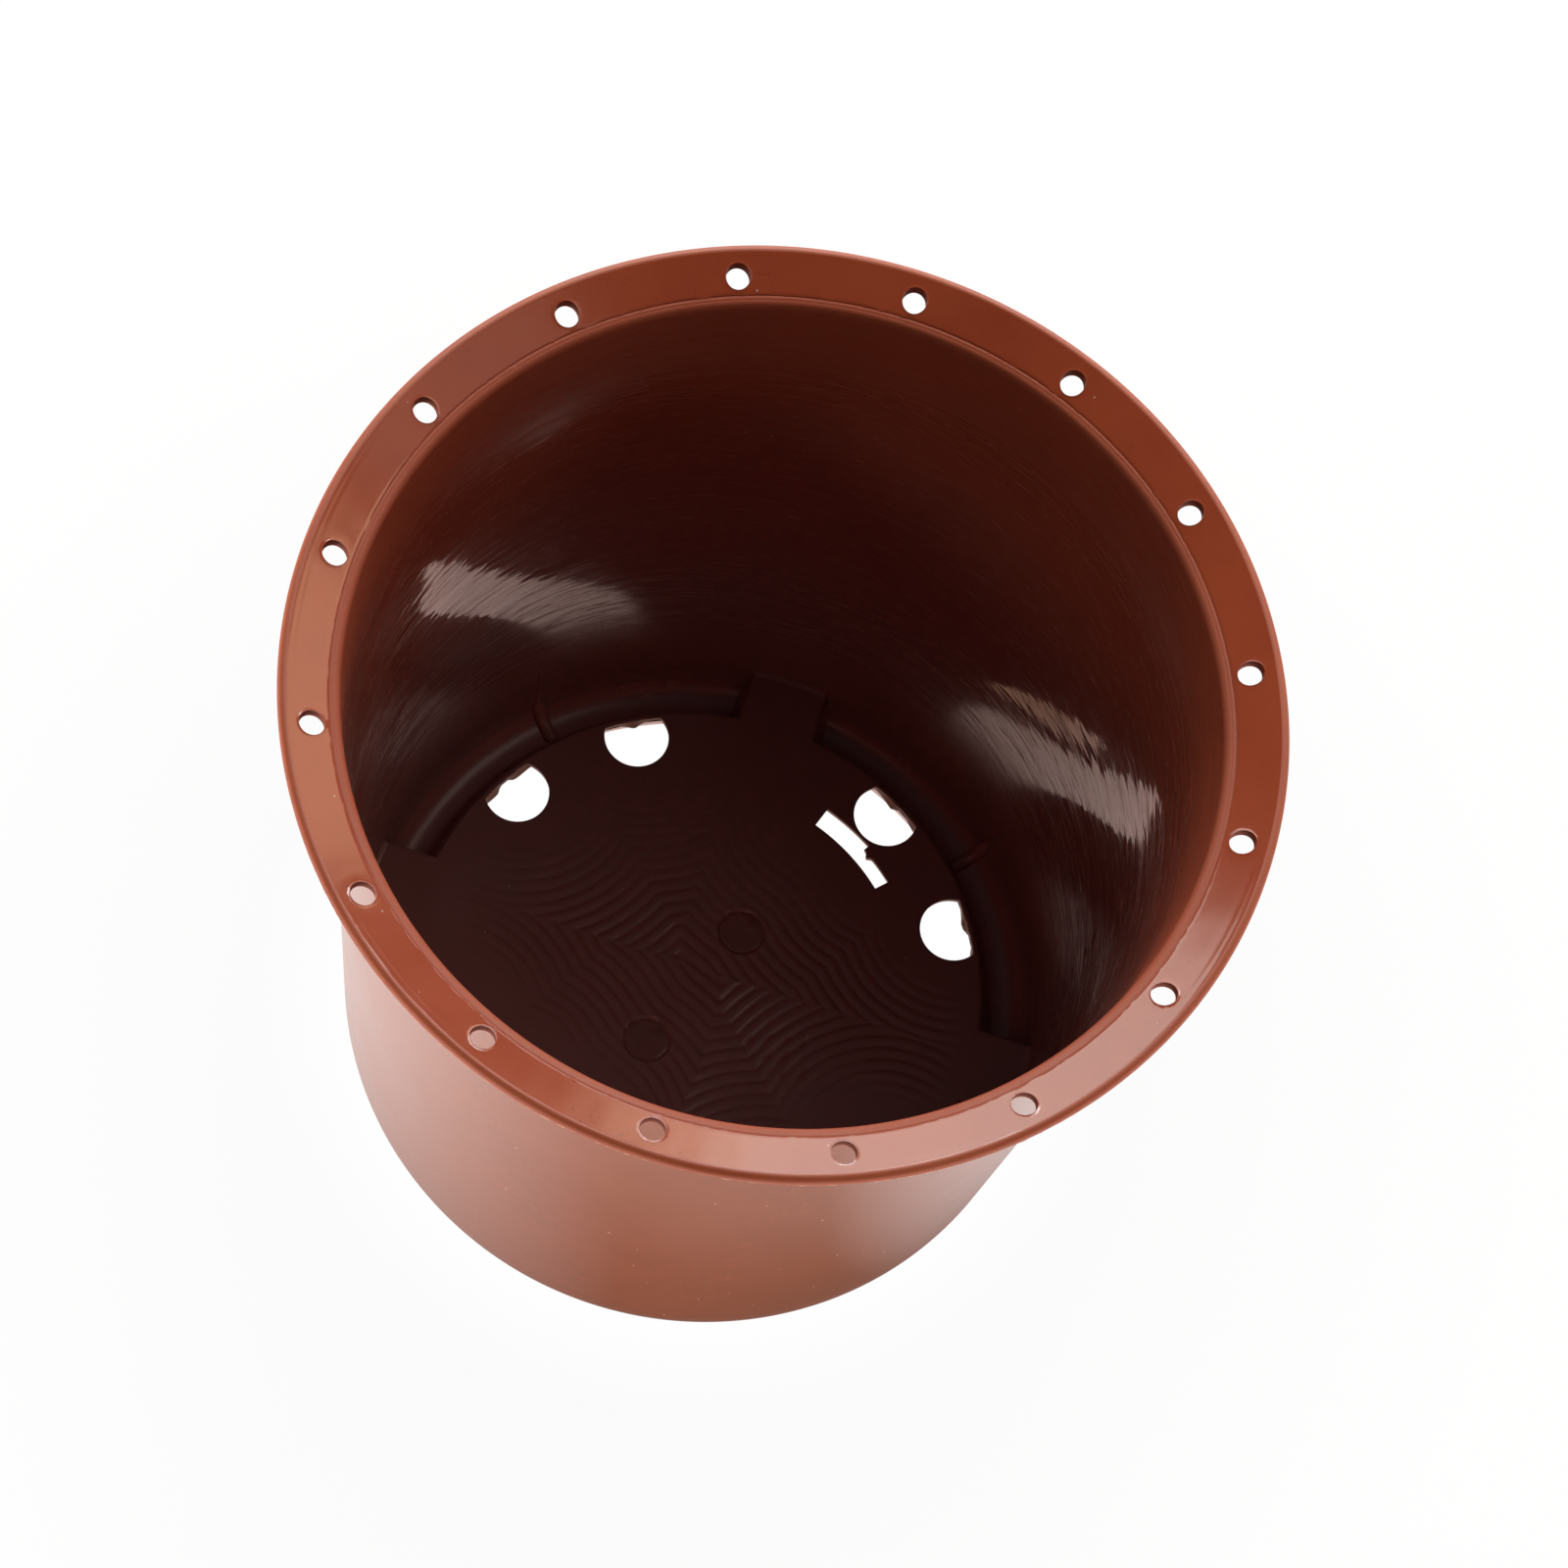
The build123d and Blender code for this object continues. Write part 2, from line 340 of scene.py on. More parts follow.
# Marks that every face of the moulding shows: cloudy flow of the colour, fine grain, dark
# pigment specks and pale dust.
moulding_marks, marks_out = new_group("moulding_marks", ("Flow", "Grain", "Speck", "Dust"))
place = put(moulding_marks, "ShaderNodeTexCoord").outputs["Object"]
flow_inputs = {"Vector": place, "Scale": 34.0, "Detail": 5.0, "Roughness": 0.6}
flow = put(moulding_marks, "ShaderNodeTexNoise", flow_inputs)
grain = put(moulding_marks, "ShaderNodeTexNoise", {"Vector": place, "Scale": 1500.0, "Detail": 3.0})
cells = put(moulding_marks, "ShaderNodeTexVoronoi", {"Vector": place, "Scale": 300.0})
dots = put(moulding_marks, "ShaderNodeTexVoronoi", {"Vector": place, "Scale": 170.0})
for cell, chance, size, output in ((cells, 0.7, 0.06, "Speck"), (dots, 0.5, 0.045, "Dust")):
    pick = put(moulding_marks, "ShaderNodeSeparateColor", {"Color": cell.outputs["Color"]}).outputs[0]
    chosen = reckon(moulding_marks, "GREATER_THAN", pick, chance)
    close = spread(moulding_marks, cell.outputs["Distance"], size, size * 0.5, 0.0, 1.0)
    moulding_marks.links.new(reckon(moulding_marks, "MULTIPLY", chosen, close), marks_out.inputs[output])
moulding_marks.links.new(flow.outputs[0], marks_out.inputs["Flow"])
moulding_marks.links.new(grain.outputs[0], marks_out.inputs["Grain"])


# Painted veil: a grey tint that stands in for stray light lifting the dark inside. It is painted on the
# lower part, is cloudy, and is gone near the mouth. Heights in metres.
veil_colour = (0.24, 0.15, 0.155, 1)
veil_climb = (0.16, 0.05)
painted_veil, veil_out = new_group("painted_veil", ("Veil",))
place = put(painted_veil, "ShaderNodeTexCoord").outputs["Object"]
climb = put(painted_veil, "ShaderNodeSeparateXYZ", {0: place}).outputs[2]
cloud = put(painted_veil, "ShaderNodeTexNoise", {"Vector": place, "Scale": 22.0, "Detail": 4.0}).outputs[0]
veil = spread(painted_veil, climb, *veil_climb, 0.0, 1.0)
veil = reckon(painted_veil, "MULTIPLY", veil, spread(painted_veil, cloud, 0.3, 0.7, 0.7, 1.0))
painted_veil.links.new(veil, veil_out.inputs["Veil"])


flow_range = (0.3, 0.7)
sheen_range = (0.9, 1.1)
speck_shade, speck_share = 0.35, 0.7
dust_colour, dust_dullness = (0.62, 0.5, 0.45, 1), 0.3
refraction = 1.5


def plastic(name, deep, pale, rough, dust_share, grain_depth, veil_share=0.0):
    """A finish of the red-brown plastic: its two tones, its sheen, its dust and its grain.

    Veil share is how much of the painted veil, grey stray light painted on the lower inside, a finish
    takes."""
    material = bpy.data.materials.new(name)
    material.use_nodes = True
    tree = material.node_tree
    shader = tree.nodes["Principled BSDF"]
    marks = put(tree, "ShaderNodeGroup", node_tree=moulding_marks).outputs
    tone = spread(tree, marks["Flow"], *flow_range, 0.0, 1.0)
    colour = tinted(tree, tone, (*deep, 1), (*pale, 1))
    speck = reckon(tree, "MULTIPLY", marks["Speck"], speck_share)
    colour = tinted(tree, speck, colour, (*(speck_shade * channel for channel in deep), 1))
    dust = reckon(tree, "MULTIPLY", marks["Dust"], dust_share)
    colour = tinted(tree, dust, colour, dust_colour)
    # Painted veil of grey stray light on the lower inside.
    if veil_share:
        veil = put(tree, "ShaderNodeGroup", node_tree=painted_veil).outputs["Veil"]
        colour = tinted(tree, reckon(tree, "MULTIPLY", veil, veil_share), colour, veil_colour)
    tree.links.new(colour, shader.inputs["Base Color"])
    sheen = spread(tree, marks["Flow"], *flow_range, *(rough * share for share in sheen_range))
    sheen = reckon(tree, "ADD", sheen, reckon(tree, "MULTIPLY", marks["Dust"], dust_dullness))
    tree.links.new(sheen, shader.inputs["Roughness"])
    grain_inputs = {"Height": marks["Grain"], "Distance": grain_depth, "Strength": 1.0}
    bump = put(tree, "ShaderNodeBump", grain_inputs)
    tree.links.new(bump.outputs[0], shader.inputs["Normal"])
    shader.inputs["IOR"].default_value = refraction
    return material, tree, shader, bump


floor_plate = Moulding()
cut_edge, pin_mark, plain_under = 1, 2, 3
lattice_step, lattice_reach, lattice_margin = 0.5, 80, 0.3
rows = np.arange(-lattice_reach, lattice_reach, lattice_step * sqrt(3) / 2)
columns = np.arange(-lattice_reach, lattice_reach, lattice_step)
lattice = np.array([
    (column + (index % 2) * lattice_step / 2, row)
    for index, row in enumerate(rows)
    for column in columns
])
lattice = lattice[on_floor(lattice, lattice_margin, opening_rounding + lattice_margin)]
top_loops = [floor_outline(floor_height, floor_edge_rounding), *opening_loops(opening_rounding)]
corners, triangles, rings = filled(
    top_loops, lattice, lambda middles: on_floor(middles, 0.0, opening_rounding)
)
surface = floor_height - floor_relief(corners)
top = floor_plate.add_points(at_height(corners, surface))
middles = corners[triangles].mean(1)
marks = [np.hypot(*(middles - on_circle(radius, angle)).T) for radius, angle in ejector_marks]
marked = np.min(marks, axis=0) < ejector_radius + mark_margin
floor_plate.add_faces(top[triangles[~marked]].tolist())
floor_plate.add_faces(top[triangles[marked]].tolist(), finish=pin_mark)
under_loops = [floor_outline(floor_underside, 0), *opening_loops(opening_draft, web=1.0)]
under_margin, under_share = -floor_edge_rounding - 0.7, 0.02
coarse = lattice[floor_grain.random(len(lattice)) < under_share]
corners, triangles, under_rings = filled(
    under_loops, coarse, lambda middles: on_floor(middles, under_margin, opening_draft, web=1.0)
)
under = floor_plate.add_points(at_height(corners, floor_underside))
floor_plate.add_faces(under[triangles].tolist(), finish=plain_under, flip=True)
for index, (ring, under_ring) in enumerate(zip(rings, under_rings)):
    last = top[ring]
    rounding = floor_edge_rounding if index == 0 else opening_rounding
    sunk = surface[ring] - floor_height
    for degrees in (30, 60, 90):
        inset = rounding * (1 - sin(radians(degrees)))
        drop = rounding * (1 - cos(radians(degrees)))
        if index == 0:
            loop = floor_outline(floor_height - drop, inset)
        else:
            loop = opening_loops(inset)[index - 1]
        row = floor_plate.add_points(at_height(loop, floor_height - drop + sunk))
        floor_plate.add_faces(between(last, row))
        last = row
    side_finish = cut_edge if 0 < index <= len(drain_angles) else 0
    floor_plate.add_faces(between(last, under[under_ring]), finish=side_finish)

floor_finish, *_ = plastic(
    "floor_plastic", (0.225, 0.043, 0.020), (0.265, 0.052, 0.023),
    rough=0.22, dust_share=0.8, grain_depth=0.00002, veil_share=0.72,
)
# The cut sides of the drain holes are painted pale pink: painted light, as if lit from the bright table
# below.
lit_cut_finish, *_ = plastic(
    "cut_plastic_painted_light", (0.30, 0.15, 0.12), (0.42, 0.26, 0.22),
    rough=0.45, dust_share=0.2, grain_depth=0.00002,
)
mark_finish, *_ = plastic(
    "pin_mark_plastic", (0.15, 0.035, 0.019), (0.21, 0.048, 0.026),
    rough=0.26, dust_share=0.9, grain_depth=0.00002, veil_share=0.4,
)
satin_finish, *_ = plastic(
    "satin_outside", (0.256, 0.071, 0.033), (0.274, 0.078, 0.037),
    rough=0.21, dust_share=0.8, grain_depth=0.000006,
)
floor_piece = floor_plate.piece("raised_floor", [floor_finish, lit_cut_finish, mark_finish, satin_finish])
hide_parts("pot_floor")


# Feet: four hollow arcs of the same plastic, moulded below the wall and open to the inside of the
# pot as channels. They lift the floor, and the gaps between them let the water out.
wall_taper, wall_rise = 9.4, 160.906
wall_lean = wall_taper / wall_rise
wall_foot_radius = 78.3
wall_thickness = 2.1
corner_rounding = 9.3
channel_rounding = 7.2
channel_corner = 1.5
foot_thickness = 2.0
foot_wall = 1.8
foot_edge = 0.8
mouth_height = 5.0
foot_steps, foot_facet = 120, 1.5
run_out = 60


def wall_inside(height):
    """Radius of the wall's inner face at a height."""
    return wall_foot_radius + (height - floor_height) * wall_lean


def wall_outside(height):
    """Radius of the wall's outer face at a height."""
    return wall_inside(height) + wall_thickness


def rounded(path, radii, steps=14):
    """A path whose corners are rounded, as points of radius and height."""
    path = [np.array(point, float) for point in path]
    made = [path[0]]
    for before, corner, after, radius in zip(path, path[1:], path[2:], radii):
        if not radius:
            made.append(corner)
            continue
        back = (before - corner) / np.hypot(*(before - corner))
        on = (after - corner) / np.hypot(*(after - corner))
        half = acos(np.clip(back @ on, -1, 1)) / 2
        middle = corner + (back + on) / np.hypot(*(back + on)) * radius / sin(half)
        start = corner + back * radius / tan(half) - middle
        stop = corner + on * radius / tan(half) - middle
        sweep = acos(np.clip(start @ stop / radius**2, -1, 1))
        for share in np.linspace(0, 1, steps):
            turn = (sin((1 - share) * sweep) * start + sin(share * sweep) * stop) / sin(sweep)
            made.append(middle + turn)
    made.append(path[-1])
    return np.array(made)


def cut_at(path, height, upper):
    """The part of a path above or below a height, ending on it."""
    above = path[:, 1] > height
    made = []
    for index, point in enumerate(path):
        if index and above[index] != above[index - 1]:
            share = (height - path[index - 1][1]) / (point[1] - path[index - 1][1])
            made.append(path[index - 1] + share * (point - path[index - 1]))
        if above[index] == upper:
            made.append(point)
    return np.array(made)


def finer(path, longest):
    """A path with its long runs divided."""
    made = [path[:1]]
    for before, after in zip(path, path[1:]):
        pieces = max(1, int(np.ceil(np.hypot(*(after - before)) / longest)))
        made.append(before + (after - before) * (np.arange(1, pieces + 1) / pieces)[:, None])
    return np.concatenate(made)


def channel_side(height):
    """Radius of a channel's inner side at a height."""
    return plate_radius + (floor_height - height) * plate_lean


def channel_end(height):
    """Distance of a channel's end from the middle line of a tab."""
    return tab_half_width + (floor_height - height) * tab_lean


def foot_end(height):
    """Distance of a foot's end from the middle line of a tab."""
    return channel_end(height) - foot_wall / cos(tab_draft)


# The paths of both skins run out above the foot and are cut where the wall starts.
foot_skin = rounded(
    [
        (channel_side(floor_underside) - foot_wall, floor_underside),
        (channel_side(0) - foot_wall, 0),
        (wall_outside(0), 0),
        (wall_outside(run_out), run_out),
    ],
    [foot_edge, corner_rounding],
)
foot_skin = finer(cut_at(foot_skin, mouth_height, upper=False), foot_facet)
hidden_top = np.array([[channel_side(floor_underside) - foot_wall, floor_underside]])
hidden_side = np.array([[channel_side(mouth_height) - foot_wall, mouth_height]])
foot_skin = np.concatenate([hidden_top, hidden_side, foot_skin[1:]])
channel_skin = rounded(
    [
        (channel_side(floor_underside), floor_underside),
        (channel_side(foot_thickness), foot_thickness),
        (wall_inside(foot_thickness), foot_thickness),
        (wall_inside(run_out), run_out),
    ],
    [channel_corner, channel_rounding],
)
channel_low = cut_at(channel_skin[1:], mouth_height, upper=False)
channel_skin = finer(np.concatenate([channel_skin[:1], channel_low]), foot_facet)


def foot_sheet(foot, skin, end, turn, finish, flip):
    """Rows of points of one skin of a foot, swept between its two drafted ends."""
    rows = []
    for radius, height in skin:
        stop = asin(end(height) / radius)
        angle = np.linspace(stop, pi / 2 - stop, foot_steps) + turn
        rows.append(foot.add_points(at_height(on_circle(radius, angle), height)))
    for lower, upper in zip(rows, rows[1:]):
        foot.add_faces(between(lower, upper, closed=False), finish, flip)
    return np.array(rows)


def on_end(path, end, turn, column):
    """Points of a path on the drafted end of a foot, the first end or the last."""
    radius, height = path.T
    stop = np.arcsin(end(height) / radius)
    angle = turn + (stop if column == 0 else pi / 2 - stop)
    return at_height(on_circle(radius, angle), height)


# Each end reaches up the inner face of the wall to the tab above it.
end_climb = rounded(
    [
        (channel_side(foot_thickness), foot_thickness),
        (wall_inside(foot_thickness), foot_thickness),
        (wall_inside(run_out), run_out),
    ],
    [channel_rounding],
)
end_climb = cut_at(cut_at(end_climb, mouth_height, upper=True), floor_underside, upper=False)
# The channels and ribs are painted paler and pinker than the wall: a painted sheen for the pale
# reflection along their rounded faces.
sheened_channel_finish, *_ = plastic(
    "channel_plastic_painted_sheen", (0.36, 0.115, 0.10), (0.44, 0.15, 0.13),
    rough=0.26, dust_share=0.5, grain_depth=0.00001, veil_share=0.4,
)
outer_face = 1
for index in range(4):
    foot = Moulding()
    turn = index * pi / 2
    outside = foot_sheet(foot, foot_skin, foot_end, turn, finish=outer_face, flip=False)
    inside = foot_sheet(foot, channel_skin, channel_end, turn, finish=0, flip=True)
    for column in (0, -1):
        outer_climb = foot.add_points(on_end(end_climb, foot_end, turn, column))
        inner_climb = foot.add_points(on_end(end_climb, channel_end, turn, column))
        foot.add_faces([[*outside[:, column], *outer_climb]], finish=outer_face, flip=column == 0)
        foot.add_faces([[*inside[:, column], *inner_climb[1:]]], flip=column == -1)
        foot.add_faces(between(outer_climb, inner_climb, closed=False), finish=outer_face)
        foot.add_faces([[outside[-1, column], outer_climb[0], inside[-1, column]]], finish=outer_face)
        end_top = [outside[0, column], inside[0, column], inner_climb[-1], outer_climb[-1]]
        foot.add_faces([end_top], finish=outer_face)
    foot.add_faces(between(outside[0], inside[0], closed=False), finish=outer_face)
    foot.add_faces(between(outside[-1], inside[-1], closed=False), finish=outer_face)
    foot_piece = foot.piece(f"channel_foot_{index + 1}", [sheened_channel_finish, satin_finish])
    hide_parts(f"foot_{index + 1}")


# Ribs: half-round beads of the same plastic, moulded across the middle of each channel and a little
# way up the wall, where they thin out.
rib_radius = 1.7
rib_top = 23.0
rib_fade, rib_thinning = (5.5, 10.5), 0.85
rib_facet, rib_sides = 0.6, 24
cap_steps, cap_tip = 7, 0.01
rib_path = rounded(
    [
        (channel_side(foot_thickness) + channel_corner, foot_thickness),
        (wall_inside(foot_thickness), foot_thickness),
        (wall_inside(rib_top), rib_top),
    ],
    [channel_rounding],
)
rib_path = finer(rib_path, rib_facet)
rib_along = np.gradient(rib_path, axis=0)
rib_along /= np.hypot(*rib_along.T)[:, None]


def bead_radius(height):
    """Radius of a rib at a height."""
    return rib_radius * (1 - rib_thinning * ramp(height, *rib_fade))


def rib_cap(point, along, sign):
    """Middles, directions and radii of the rows that round off an end of a rib."""
    bead = bead_radius(point[1])
    return [
        (point + sign * bead * sin(turn) * along, along, bead * max(cos(turn), cap_tip))
        for turn in np.linspace(0, pi / 2, cap_steps)[1:]
    ]


rib_rows = [
    *rib_cap(rib_path[0], rib_along[0], -1)[::-1],
    *((point, along, bead_radius(point[1])) for point, along in zip(rib_path, rib_along)),
    *rib_cap(rib_path[-1], rib_along[-1], 1),
]
rib_round = np.linspace(0, 2 * pi, rib_sides, endpoint=False)
for index in range(4):
    rib = Moulding()
    turn = pi / 4 + index * pi / 2
    last = None
    for point, along, radius in rib_rows:
        radial = point[0] - radius * np.cos(rib_round) * along[1]
        height = point[1] + radius * np.cos(rib_round) * along[0]
        flat = np.stack([radial, radius * np.sin(rib_round)], -1)
        row = rib.add_points(at_height(turned(flat, turn), height))
        if last is None:
            rib.add_faces([row[::-1].tolist()])
        else:
            rib.add_faces(between(last, row))
        last = row
    rib.add_faces([last.tolist()])
    rib_piece = rib.piece(f"channel_rib_{index + 1}", [sheened_channel_finish])
    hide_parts(f"foot_rib_{index + 1}")


# Wall: one tapered shell of the same plastic, from the feet up to a rounded lip with a shallow line.
# The core that shaped its inside was polished on a lathe, so the inside is glossy with rings of
# scratches; the outside came off a satin, blasted mould.
witness_radius, witness_height = 89.8, 171.906
seat_height = 169.555
flange_lean = tan(radians(22))
lip_rounding, lip_depth = 1.8, 1.5
witness_width, witness_depth = 0.3, 0.12
lip_line, lip_line_depth = (0.95, 0.8, 0.65), 0.05
mouth_radius = witness_radius - wall_thickness
lip_height = witness_height - wall_thickness * flange_lean
wall_segments, wall_facet = 384, 3.0

lip_groove = [
    (witness_radius - inset, witness_height - inset * flange_lean - depth)
    for inset, depth in zip(lip_line, (0.0, lip_line_depth, 0.0))
]
wall_in = rounded(
    [
        (channel_side(foot_thickness), foot_thickness),
        (wall_inside(foot_thickness), foot_thickness),
        (mouth_radius, lip_height),
        *lip_groove,
        (witness_radius - witness_width, witness_height - witness_width * flange_lean),
        (witness_radius, witness_height - witness_depth),
    ],
    [channel_rounding, lip_rounding, 0, 0, 0, 0],
)
wall_in = finer(cut_at(wall_in, mouth_height, upper=True), wall_facet)
wall_out = rounded(
    [(channel_side(0), 0), (wall_outside(0), 0), (wall_outside(seat_height), seat_height)],
    [corner_rounding],
)
wall_out = finer(cut_at(wall_out, mouth_height, upper=True), wall_facet)
wall_loop = np.concatenate([wall_in, wall_out[::-1]])
wall_turns = np.linspace(0, 2 * pi, wall_segments, endpoint=False)
wall = Moulding()
lip_face = 2
wall_rows = [
    wall.add_points(at_height(on_circle(radius, wall_turns), height)) for radius, height in wall_loop
]
for index, (lower, upper) in enumerate(zip(wall_rows, wall_rows[1:] + wall_rows[:1])):
    lip = wall_loop[index][1] > lip_height - lip_depth and index < len(wall_in)
    side_face = outer_face if index >= len(wall_in) else 0
    wall.add_faces(between(lower, upper), finish=lip_face if lip else side_face)

# Scratches round the pot, from the polishing of the mould's core: long soft lines that bend its
# reflections, and a few deeper scuffs that are dull.
lathe_scratches, scratches_out = new_group("lathe_scratches", ("Lines", "Worn"))
place = put(lathe_scratches, "ShaderNodeTexCoord").outputs["Object"]
axes = put(lathe_scratches, "ShaderNodeSeparateXYZ", {0: place}).outputs


def scratch_noise(rings_per_metre, runs_per_metre, slant, detail=2.0):
    """Noise drawn out into lines round the pot, with a slight slant."""
    tilt = reckon(lathe_scratches, "MULTIPLY_ADD", axes[0], slant[0], axes[2])
    tilt = reckon(lathe_scratches, "MULTIPLY_ADD", axes[1], slant[1], tilt)
    inputs = {
        0: reckon(lathe_scratches, "MULTIPLY", axes[0], runs_per_metre),
        1: reckon(lathe_scratches, "MULTIPLY", axes[1], runs_per_metre),
        2: reckon(lathe_scratches, "MULTIPLY", tilt, rings_per_metre),
    }
    stretched = put(lathe_scratches, "ShaderNodeCombineXYZ", inputs).outputs[0]
    noise_inputs = {"Vector": stretched, "Scale": 1.0, "Detail": detail}
    return put(lathe_scratches, "ShaderNodeTexNoise", noise_inputs).outputs[0]


soft_lines = scratch_noise(360.0, 9.0, (0.10, -0.06), detail=0.6)
fine_lines = scratch_noise(950.0, 16.0, (-0.08, 0.05), detail=0.0)
fine_share = 0.22
lines = reckon(lathe_scratches, "MULTIPLY_ADD", fine_lines, fine_share, soft_lines)
scuff_kinds = (
    (560.0, 20.0, (-0.05, 0.09)),
    (800.0, 34.0, (0.22, -0.18)),
    (420.0, 12.0, (0.08, -0.05)),
)
scuff_width, scuff_dullness = 0.019, 0.28
scuff = None
for kind in scuff_kinds:
    crossing = reckon(lathe_scratches, "SUBTRACT", scratch_noise(*kind), 0.5)
    crossing = reckon(lathe_scratches, "ABSOLUTE", crossing)
    line = spread(lathe_scratches, crossing, 0.0, scuff_width, 1.0, 0.0)
    scuff = line if scuff is None else reckon(lathe_scratches, "MAXIMUM", scuff, line)
lathe_scratches.links.new(lines, scratches_out.inputs["Lines"])
# The inside is duller deep down and near the mouth. Heights in metres.
deep_climb, deep_dullness = (0.066, 0.03), 0.25
mouth_climb, mouth_dullness = (0.132, 0.158), 0.4
deep_wear = spread(lathe_scratches, axes[2], *deep_climb, 0.0, deep_dullness)
mouth_wear = spread(lathe_scratches, axes[2], *mouth_climb, 0.0, mouth_dullness)
worn = reckon(lathe_scratches, "ADD", deep_wear, mouth_wear)
worn = reckon(lathe_scratches, "MULTIPLY_ADD", scuff, scuff_dullness, worn)
lathe_scratches.links.new(worn, scratches_out.inputs["Worn"])

inside_finish, tree, shader, bump = plastic(
    "polished_inside", (0.265, 0.048, 0.0185), (0.315, 0.060, 0.023),
    rough=0.03, dust_share=0.5, grain_depth=0.000001, veil_share=0.8,
)
scratches = put(tree, "ShaderNodeGroup", node_tree=lathe_scratches).outputs
scratch_depth = 0.000036
inputs = {"Height": scratches["Lines"], "Distance": scratch_depth, "Normal": bump.outputs[0]}
tree.links.new(put(tree, "ShaderNodeBump", inputs).outputs[0], shader.inputs["Normal"])
gloss = shader.inputs["Roughness"].links[0].from_socket
tree.links.new(reckon(tree, "ADD", scratches["Worn"], gloss), shader.inputs["Roughness"])
lip_finish, *_ = plastic(
    "lip_plastic", (0.285, 0.055, 0.020), (0.315, 0.064, 0.023),
    rough=0.62, dust_share=0.5, grain_depth=0.000008,
)
wall_piece = wall.piece("tapered_wall", [inside_finish, satin_finish, lip_finish])
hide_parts("pot_wall")


# Flange: the sloped ring round the mouth, moulded on to the wall's top edge, with a rounded outer
# edge and a fine line beside it. Sixteen core pins left small holes with a thin raised edge each,
# and thin flash hangs from the outer edge where the two halves of the mould met.
rim_radius, rim_height = 100.0, 176.0274
flange_thickness = 2.3
flange_top_edge, flange_under_edge = 1.3, 0.4
swell_radius, swell_spread, swell_height = 96.8, 1.0, 0.012
line_radius, line_spread, line_depth = 97.2, 0.22, 0.022
hole_circle, hole_radius = 93.5, 2.5
hole_count = 16
hole_edge = ((2.82, 0.0), (2.72, 0.03), (2.64, 0.06), (2.56, 0.045), (2.5, -0.08))
hole_sides, loose_margin = 48, 0.22
sink_width = 4.5
hollow_radius, hollow_spread, hollow_depth, hollow_start = 4.4, 1.3, 0.012, (90.4, 92.0)
wave_count, wave_height, wave_start, wave_stop = 7, 0.003, (90.6, 92.5), (97.4, 99.2)
flange_segments = 768
flange_rows, flange_row_step, flange_turn_step = (89, 100), 0.4, 0.0045
side_rows = 24
under_inner, under_point_share = 89.6, 0.1
flash_length, flash_rarity = 0.6, 5
seam_chip, chip_rarity = 0.2, 6
seam_inset, seam_drop = 0.4, 1.2
flange_grain = np.random.default_rng(23)


def flange_top(radius):
    """Height of the flange's straight slope at a radius."""
    return rim_height - (rim_radius - radius) * flange_lean


waves_round = flange_grain.integers(24, 90, wave_count)
wave_turns = flange_grain.uniform(0, 2 * pi, wave_count)


def flange_face(points):
    """Height of the flange's upper face, with its swell, its sinks at the holes and slight waves."""
    radius, angle = np.hypot(*points.T), np.arctan2(points[:, 1], points[:, 0])
    from_pin = (angle / (2 * sector) + 0.5) % 1 - 0.5
    beside = hole_circle * 2 * sector * from_pin
    sink = np.exp(-((beside / sink_width) ** 2))
    swell = swell_height * np.exp(-(((radius - swell_radius) / swell_spread) ** 2))
    waves = sum(np.sin(count * angle + start) for count, start in zip(waves_round, wave_turns))
    waves = waves * ramp(radius, *wave_start) * (1 - ramp(radius, *wave_stop))
    from_hole = np.hypot(beside, radius - hole_circle)
    hollow = hollow_depth * np.exp(-(((from_hole - hollow_radius) / hollow_spread) ** 2))
    hollow = hollow * ramp(radius, *hollow_start)
    line = line_depth * np.exp(-(((radius - line_radius) / line_spread) ** 2))
    return flange_top(radius) + (swell - line) * (1 - sink) + wave_height * waves - hollow


edge_path = rounded(
    [
        (witness_radius, witness_height),
        (rim_radius, rim_height),
        (rim_radius, rim_height - flange_thickness),
        (witness_radius, witness_height - flange_thickness),
    ],
    [flange_top_edge, flange_under_edge],
    steps=10,
)[1:-1]
sector = pi / hole_count
sector_turns = np.linspace(-sector, sector, flange_segments // hole_count + 1)


def flange_sector(inner, outer):
    """Edge of one sixteenth of the flange, seen from above."""
    across = np.linspace(inner, outer, side_rows)[1:-1]
    return np.concatenate([
        on_circle(inner, sector_turns[::-1]),
        on_circle(across, -sector),
        on_circle(outer, sector_turns),
        on_circle(across[::-1], sector),
    ])


def hole_loop(radius):
    """A ring round a hole of the flange."""
    angle = np.linspace(0, 2 * pi, hole_sides, endpoint=False)
    return np.array([hole_circle, 0]) + radius * np.stack([np.cos(angle), np.sin(angle)], -1)


def on_sector(inner, outer, hole, margin):
    """A test of which flat points lie on one sixteenth of the flange, clear of its hole."""
    def test(points):
        radius, angle = np.hypot(*points.T), np.arctan2(points[:, 1], points[:, 0])
        from_hole = np.hypot(points[:, 0] - hole_circle, points[:, 1])
        ring = (radius > inner + margin) & (radius < outer - margin)
        return ring & (np.abs(angle) < sector - margin / radius) & (from_hole > hole + margin)
    return test


